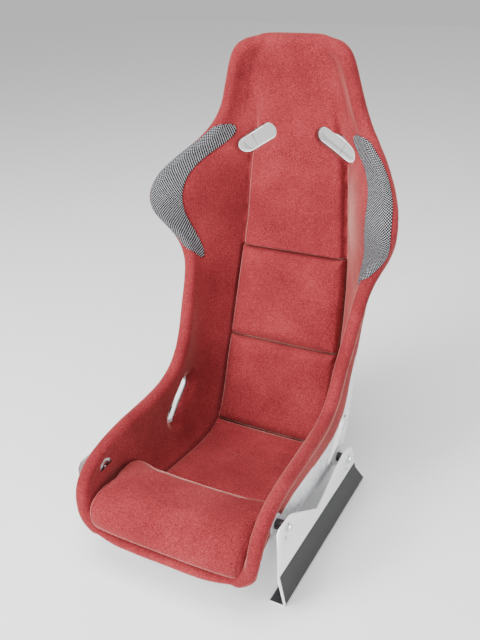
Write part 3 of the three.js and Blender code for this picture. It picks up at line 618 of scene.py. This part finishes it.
def make_cover():
    pieces = [cover_main(), end_bar(0, LIP_TOP), end_bar(LAST, HEAD_TOP)]
    for side in (-1, 1):
        for end, step in ((0, 0.12), (LAST, -0.12)):
            for i in range(5):
                pieces.append(ball(place(end + step * i, side, SHELL / 2), ROLL_EDGE))
    cover = join("fitted_cover", pieces)
    apply(cover, "REMESH", mode="VOXEL", voxel_size=VOXEL)
    for side in (-1, 1):
        cutters = [belt_cutter(side, 1.0), lap_cutter(side, 1.5, flare=9)]
        cutters += [disc_x(BOSS_RADIUS + 1.5, side * (BOSS_BACK - 5), side * 240, y, z)
                    for y, z in BOLTS.values()]
        for cutter in cutters:
            combine(cover, "DIFFERENCE", cutter)
    apply(cover, "REMESH", mode="VOXEL", voxel_size=VOXEL)
    apply(cover, "SMOOTH", factor=0.5, iterations=7)
    ripple(cover, 0.06, 0.0016)
    combine(cover, "DIFFERENCE", slab("gap", -FIT, SHELL + FIT, FIT))
    cover.data.shade_smooth()
    cover.data.set_sharp_from_angle(angle=math.radians(50))
    return cover


# ---------------------------------------------------------------- cushions
CLOTH_FRAMES, CLOTH_PRESSURE = 20, 4.0


def puff(obj, pinned, cap):
    """Inflates a soft piece with the cloth solver; `pinned` tests rest positions, `cap` is in metres."""
    rest = coords(obj)
    group = obj.vertex_groups.new(name="pinned")
    group.add([int(i) for i in np.flatnonzero(pinned(rest))], 1.0, "REPLACE")
    m = obj.modifiers.new("cloth", "CLOTH")
    s = m.settings
    s.use_pressure, s.uniform_pressure_force = True, CLOTH_PRESSURE
    s.effector_weights.gravity = 0
    s.quality, s.mass, s.time_scale = 6, 0.3, 0.5
    s.tension_stiffness = s.compression_stiffness = 12
    s.shear_stiffness, s.bending_stiffness = 6, 0.4
    s.vertex_group_mass = "pinned"
    m.collision_settings.use_collision = False
    m.point_cache.frame_start, m.point_cache.frame_end = 1, CLOTH_FRAMES
    for f in range(1, CLOTH_FRAMES + 1):
        scene.frame_set(f)
        bpy.context.view_layer.update()
    moved = coords(obj.evaluated_get(bpy.context.evaluated_depsgraph_get())) - rest
    far = np.linalg.norm(moved, axis=1, keepdims=True)
    obj.modifiers.remove(m)
    obj.vertex_groups.remove(group)
    capped = rest + moved * np.minimum(1, cap / np.maximum(far, 1e-9))
    obj.data.vertices.foreach_set("co", capped.ravel())
    obj.data.update()
    scene.frame_set(1)


PAD_LOW, PAD_HIGH, PAD_EDGE, PAD_SIDE = 10.4, PAD_TOP - 1.5, 7.0, T_SEAM - 0.004
PAD_PINNED, PAD_CAP = 17, 0.006  # pinned up to this height over the shell, moved no further than this


def pad_object(name, u0, u1, crown):
    """A loose cushion over the shell's face, with rounded edges and a crowned top."""
    edge, t_edge = PAD_EDGE, PAD_SIDE
    us, ts = np.linspace(u0, u1, 61), np.linspace(-t_edge, t_edge, 61)
    uu, tt = np.meshgrid(us, ts, indexing="ij")
    length = np.linalg.norm(face(u1, 0) - face(u0, 0))
    width = face((u0 + u1) / 2, t_edge)[0]
    a = np.minimum(uu - u0, u1 - uu) / (u1 - u0) * length
    b = (1 - np.abs(tt) / t_edge) * width
    def drop_of(d):
        d = np.clip(d, 0, edge)
        return edge - np.sqrt(np.maximum(edge ** 2 - (edge - d) ** 2, 0))
    drop_mm = np.minimum(drop_of(a) + drop_of(b), 1.35 * edge)
    swell = (1 - (2 * (uu - u0) / (u1 - u0) - 1) ** 2) * (1 - (tt / t_edge) ** 2)
    top = place(uu, tt, PAD_HIGH - drop_mm + crown * np.sqrt(swell))
    bottom = place(uu, tt, np.full_like(uu, PAD_LOW))
    n = len(us) * len(ts)
    grid = lambda i, j: i * len(ts) + j
    faces = []
    for i in range(len(us) - 1):
        for j in range(len(ts) - 1):
            q = (grid(i, j), grid(i, j + 1), grid(i + 1, j + 1), grid(i + 1, j))
            faces.append(q)
            faces.append(tuple(n + k for k in q[::-1]))
    loop = [grid(0, j) for j in range(len(ts))] + [grid(i, len(ts) - 1) for i in range(1, len(us))]
    loop += [grid(len(us) - 1, j) for j in range(len(ts) - 2, -1, -1)]
    loop += [grid(i, 0) for i in range(len(us) - 2, 0, -1)]
    for k, l in zip(loop, loop[1:] + loop[:1]):
        faces.append((k, l, n + l, n + k))
    return new_object(name, metres(np.concatenate([top.reshape(-1, 3), bottom.reshape(-1, 3)])), faces)


def soften(obj, voxel):
    apply(obj, "REMESH", mode="VOXEL", voxel_size=voxel)
    apply(obj, "SMOOTH", factor=0.5, iterations=3)


def finish_cushion(obj, node_name, fill):
    apply(obj, "SUBSURF", levels=1)
    obj.data.shade_smooth()
    return finish_piece(obj, "velour", node_name, fill=fill)


def height_over(points, u0, u1):
    """Height of points over the shell's face, by the nearest of a coarse grid of face points."""
    gu, gt = np.meshgrid(np.linspace(u0, u1, 40), np.linspace(-0.5, 0.5, 31), indexing="ij")
    p, n = metres(face(gu, gt)).reshape(-1, 3), normal(gu, gt).reshape(-1, 3)
    best = np.array([np.argmin(((p - c) ** 2).sum(1)) for c in points])
    return ((points - p[best]) * n[best]).sum(1) * 1000


def make_pad(name, u0, u1, crown):
    pad = pad_object(name + "_foam", u0, u1, crown)
    soften(pad, 0.0036)
    puff(pad, lambda rest: height_over(rest, u0 - 0.5, u1 + 0.5) < PAD_PINNED, PAD_CAP)
    return finish_cushion(pad, name, 0.7)


ROLL_SECTION = np.array([
    (-150, 100), (-240, 98), (-257, 106), (-260, 122), (-252, 140), (-232, 152), (-200, 158), (-160, 158),
    (-120, 154), (-95, 149), (-86, 145), (-84, 136), (-84, 112), (-90, 100)], float)


def closed_curve(points, count):
    """A smooth closed curve near the points, evenly sampled."""
    n = len(points)
    s = np.linspace(0, n, 12 * n, endpoint=False)
    i, f = np.floor(s).astype(int), (s % 1)[:, None]
    p = [points[(i + k) % n] for k in (-1, 0, 1, 2)]
    curve = 0.5 * ((2 * p[1]) + (p[2] - p[0]) * f + (2 * p[0] - 5 * p[1] + 4 * p[2] - p[3]) * f ** 2
                   + (3 * p[1] - p[0] - 3 * p[2] + p[3]) * f ** 3)
    step = np.linalg.norm(np.roll(curve, -1, 0) - curve, axis=1)
    run = np.concatenate([[0], np.cumsum(step)])
    at = np.linspace(0, run[-1], count, endpoint=False)
    curve = np.vstack([curve, curve[:1]])
    return np.stack([np.interp(at, run, curve[:, k]) for k in (0, 1)], -1)


ROLL_HALF, ROLL_ROUND = 171.0, 24.0  # half length, and how far the rounding of an end reaches
ROLL_COUNT, ROLL_MIDDLE = 96, np.array([-168.0, 126.0])


def roll_ring(x, shrink):
    """The thigh roll's section at x, drawn in by shrink; it rises and pulls back towards its ends."""
    curve = closed_curve(ROLL_SECTION, ROLL_COUNT)
    flat = curve - unit(curve - ROLL_MIDDLE) * shrink
    lift = 4.8 * (x / ROLL_HALF) ** 2 * (curve[:, 1] > 120)
    pull = 7 * (x / ROLL_HALF) ** 4 * np.clip((-curve[:, 0] - 200) / 60, 0, 1)
    return np.stack([np.full(len(curve), x), flat[:, 0] + pull, flat[:, 1] + lift], -1)


def make_thigh_roll():
    straight = ROLL_HALF - ROLL_ROUND
    turn = [math.pi / 2 * i / 8 for i in range(1, 9)]
    end = [(straight + ROLL_ROUND * math.sin(a), 0.8 * ROLL_ROUND * (1 - math.cos(a))) for a in turn]
    order = [(-x, s) for x, s in end[::-1]] + [(x, 0.0) for x in np.linspace(-straight, straight, 61)]
    order += end
    rings = np.array([roll_ring(x, s) for x, s in order])
    roll = new_object("thigh_roll_foam", metres(rings), tube_faces(len(order), ROLL_COUNT))
    soften(roll, 0.005)
    puff(roll, lambda rest: rest[:, 2] < 0.104, 0.007)
    return finish_cushion(roll, "thigh_cushion", 0.85)


# ---------------------------------------------------------------- netting on the wings
SIDES = ((-1, "left"), (1, "right"))


def ribbon_path(u, side):
    """The cover's inner face from its rim inwards, as points with their distance in millimetres."""
    rows = []
    for a in np.radians(np.linspace(62, 0, 12)):
        rows.append((side, SHELL / 2 + ROLL_IN * math.cos(a), ROLL_EDGE * math.sin(a)))
    for t in np.linspace(1, 0.5, 60)[1:]:
        rows.append((side * t, float(cover_height(u, t)), 0))
    r = np.array(rows)
    p = place(np.full(len(r), u), r[:, 0], r[:, 1], r[:, 2])
    run = np.concatenate([[0], np.cumsum(np.linalg.norm(np.diff(p, axis=0), axis=1))])
    return p, run


NET_FROM, NET_TO = 12.2, 17.9
NET_WIDTH, NET_SWELL, NET_SWELL_AT = 56, 16, 0.47
NET_TAPER = 0.09  # share of the length over which each end rounds off
NET_ACROSS, NET_ALONG = 29, 141
NET_LIFT, NET_THICK = 0.0007, 0.0012


def net_grid(side):
    """The netting's points on the wing, and where each lies on the flat cloth in metres."""
    points, flat = [], []
    length = 0.0
    for k in range(NET_ALONG):
        s = k / (NET_ALONG - 1)
        p, run = ribbon_path(NET_FROM + (NET_TO - NET_FROM) * s, side)
        width = NET_WIDTH + NET_SWELL * math.exp(-((s - NET_SWELL_AT) / 0.2) ** 2)
        end = min(s, 1 - s) / NET_TAPER
        taper = math.sqrt(max(1 - (1 - end) ** 2, 0.0)) if end < 1 else 1.0
        at = width / 2 + max(width / 2 * taper, 0.4) * np.linspace(-1, 1, NET_ACROSS)
        row = np.stack([np.interp(at, run, p[:, i]) for i in range(3)], -1)
        if points:
            length += np.linalg.norm(row[NET_ACROSS // 2] - points[-1][NET_ACROSS // 2])
        points.append(row)
        flat.append(np.stack([at / 1000, np.full(NET_ACROSS, length / 1000)], -1))
    return metres(np.array(points)), np.array(flat)


def lay_on(grid, n, tree):
    """Moves the grid onto a surface along its normals, then evens it out."""
    for i, j in np.ndindex(grid.shape[:2]):
        way = Vector(n[i, j])
        hit = tree.ray_cast(Vector(grid[i, j]) + way * 0.012, -way, 0.03)
        if hit[0] is not None:
            grid[i, j] = hit[0]
    for _ in range(3):
        grid[1:-1, 1:-1] = (grid[1:-1, 1:-1] * 2 + grid[:-2, 1:-1] + grid[2:, 1:-1]
                            + grid[1:-1, :-2] + grid[1:-1, 2:]) / 6


def make_netting(side, label, tree):
    across, along = NET_ACROSS, NET_ALONG
    grid, flat = net_grid(side)
    n = unit(np.cross(np.gradient(grid, axis=1), np.gradient(grid, axis=0))) * side
    if n[along // 2, across // 2, 1] > 0:
        n = -n
    lay_on(grid, n, tree)
    faces = [(i * across + j, i * across + j + 1, (i + 1) * across + j + 1, (i + 1) * across + j)
             for i in range(along - 1) for j in range(across - 1)]
    net = bpy.data.meshes.new("shoulder_net_" + label)
    net.from_pydata([tuple(v) for v in (grid + n * NET_LIFT).reshape(-1, 3)], [], faces)
    loops = np.empty(len(net.loops), int)
    net.loops.foreach_get("vertex_index", loops)
    net.uv_layers.new(name="weave").data.foreach_set("uv", flat.reshape(-1, 2)[loops].ravel())
    obj = bpy.data.objects.new("shoulder_net_" + label, net)
    scene.collection.objects.link(obj)
    bm = bmesh.new()
    bm.from_mesh(net)
    bmesh.ops.recalc_face_normals(bm, faces=bm.faces)
    bm.faces.ensure_lookup_table()
    if bm.faces[len(bm.faces) // 2].normal.dot(Vector(n[along // 2, across // 2])) < 0:
        bmesh.ops.reverse_faces(bm, faces=bm.faces)
    bm.to_mesh(net)
    bm.free()
    apply(obj, "SOLIDIFY", thickness=NET_THICK, offset=1.0)
    net.shade_smooth()
    finish_piece(obj, "mesh", "shoulder_mesh_" + label)


# ---------------------------------------------------------------- hardware
SHADED_FLANGE_TOP = 0.0046  # bracket faces below this height are the flange's, under the seat; they are coloured black as painted shade


def bevelled(name, slot, width, segments=2):
    """A copy of the CAD node with rounded edges."""
    source = frame["nodes"][name]
    mesh = source.data.copy()
    obj = bpy.data.objects.new(name + "_finish", mesh)
    obj.matrix_world = source.matrix_world.copy()
    scene.collection.objects.link(obj)
    bpy.context.view_layer.update()
    bm = bmesh.new()
    bm.from_mesh(mesh)
    bmesh.ops.remove_doubles(bm, verts=bm.verts, dist=1e-6)
    bmesh.ops.dissolve_limit(bm, angle_limit=math.radians(1.5), verts=bm.verts, edges=bm.edges)
    bm.to_mesh(mesh)
    bm.free()
    if width:
        apply(obj, "BEVEL", width=width, segments=segments, limit_method="ANGLE",
              angle_limit=math.radians(32), use_clamp_overlap=True)
    mesh.shade_smooth()
    mesh.set_sharp_from_angle(angle=math.radians(38))
    finish_piece(obj, slot, name)
    # The bracket's flange under the seat gets the black trim material: painted shade for the seat's
    # shadow on it.
    if name.startswith("side_bracket"):
        mesh.materials.append(MATERIALS["black_trim"])
        for polygon in mesh.polygons:
            if polygon.center.z < SHADED_FLANGE_TOP:
                polygon.material_index = 1


# ---------------------------------------------------------------- seams
STITCH, STITCH_PITCH, THREAD, THREAD_SINK = 0.0034, 0.0046, 0.0008, 0.2
THREAD_SIDES = 6


def seam_line(name, points, target):
    """A sewn seam: a row of short stitches that lies on the target's surface."""
    tree = BVHTree.FromObject(target, bpy.context.evaluated_depsgraph_get())
    points = np.asarray(points, float)
    run = np.concatenate([[0], np.cumsum(np.linalg.norm(np.diff(points, axis=0), axis=1))])
    verts, faces = [], []
    start = 0.0
    while start + STITCH < run[-1]:
        stitch = []
        for part in (0.0, 0.25, 0.5, 0.75, 1.0):
            at = start + STITCH * part
            p = Vector([np.interp(at, run, points[:, k]) for k in range(3)])
            hit, n, _, _ = tree.find_nearest(p)
            stitch.append((hit + n * THREAD * (math.sin(math.pi * part) - THREAD_SINK), n))
        way = (stitch[-1][0] - stitch[0][0]).normalized()
        base = len(verts)
        for k, (c, n) in enumerate(stitch):
            side = way.cross(n).normalized()
            r = THREAD * (0.45 if k in (0, 4) else 1.0)
            for i in range(THREAD_SIDES):
                a = 2 * math.pi * i / THREAD_SIDES
                verts.append(c + side * r * math.cos(a) + n * r * math.sin(a))
        faces += [tuple(base + v for v in f) for f in tube_faces(len(stitch), THREAD_SIDES)]
        start += STITCH_PITCH
    finish_piece(new_object(name, verts, faces), "lining")


def along_face(u0, u1, t0, t1, h):
    """Points at height h over the shell's face, from [u0, t0] to [u1, t1]."""
    return metres(place(np.linspace(u0, u1, 80), np.linspace(t0, t1, 80), h))


# ---------------------------------------------------------------- assembly
make_shell()
cover = make_cover()
finish_piece(cover, "velour", "side_bolster_left", "side_bolster_right", "head_pad", "front_lip",
             "centre_lining", "backrest_pad_upper")

roll = make_thigh_roll()
for side, label in SIDES:
    ring = metres(roll_ring(side * (ROLL_HALF - 0.55 * ROLL_ROUND), 3.0))
    seam_line("thigh_roll_seam_" + label, ring[4:], roll)
make_pad("seat_cushion", 3.54, 7.95, 5.0)
make_pad("backrest_pad_lower", 8.05, 10.99, 4.0)
make_pad("backrest_pad_middle", 11.01, 13.48, 4.0)
for side, label in SIDES:
    seam_line("panel_seam_" + label, along_face(13.6, 17.3, side * 0.425, side * 0.425, 20), cover)
    seam_line("wing_seam_" + label, along_face(18.4, 21.6, side * 0.78, side * 0.80, 24), cover)
seam_line("lip_seam", along_face(0.9, 0.9, -0.8, 0.8, 16), cover)

bpy.context.view_layer.update()
cover_tree = BVHTree.FromObject(cover, bpy.context.evaluated_depsgraph_get())
for side, label in SIDES:
    make_netting(side, label, cover_tree)

# Name parts of the CAD nodes that get rounded edges, with each one's bevel width and segments.
BEVELS = {
    "washer": (0.0005, 2), "spacer": (0.0005, 2), "mounting_bolt": (0.0005, 2),
    "lap_trim_screw": (0.0005, 2), "threaded_insert": (0.0005, 2),
    "side_bracket": (0.0008, 2), "belt_slot_trim": (0.0008, 2), "lap_slot_trim": (0.0008, 2),
    "bracket_band": (0.0003, 1), "_strip_": (0, 2),
}
for cad_name, cad_slot in NODE_SLOT.items():
    for part, (width, segments) in BEVELS.items():
        if part in cad_name:
            bevelled(cad_name, cad_slot, width, segments)

# ---------------------------------------------------------------- studio
FLOOR = (0.96, 0.96, 0.96)


def add_floor():
    bpy.ops.mesh.primitive_plane_add(size=14, location=(0, 0, 0))
    floor = bpy.context.object
    floor.name = "floor"
    m, tree, s = nodes_of("floor")
    tone = [(0.3, [c * 0.99 for c in FLOOR]), (0.7, FLOOR)]
    tree.links.new(ramp(tree, noise(tree, 2, 2).outputs["Fac"], tone), s.inputs["Base Color"])
    s.inputs["Roughness"].default_value = 0.9
    floor.data.materials.append(m)


def add_light(name, at, size, power, aim=(0, 0, 0.45)):
    data = bpy.data.lights.new(name, "AREA")
    data.energy, data.size, data.shape = power, size, "SQUARE"
    light = bpy.data.objects.new(name, data)
    light.location = at
    light.rotation_euler = (Vector(aim) - Vector(at)).to_track_quat("-Z", "Y").to_euler()
    scene.collection.objects.link(light)


add_floor()
# Name, place, size in metres, power in watts, and the point it faces.
add_light("key", (-1.5, -2.1, 2.4), 1.1, 92, (0, -0.1, 0.25))
add_light("fill", (2.6, -1.6, 0.9), 1.8, 55)
add_light("front", (-1.3, -2.6, 0.6), 1.0, 85, (0, -0.2, 0.1))
add_light("top", (0.0, -0.6, 3.3), 2.0, 115)
world = bpy.data.worlds.new("studio")
world.use_nodes = True
background = world.node_tree.nodes["Background"]
background.inputs["Color"].default_value = (1, 1, 1, 1)
background.inputs["Strength"].default_value = 0.62
scene.world = world
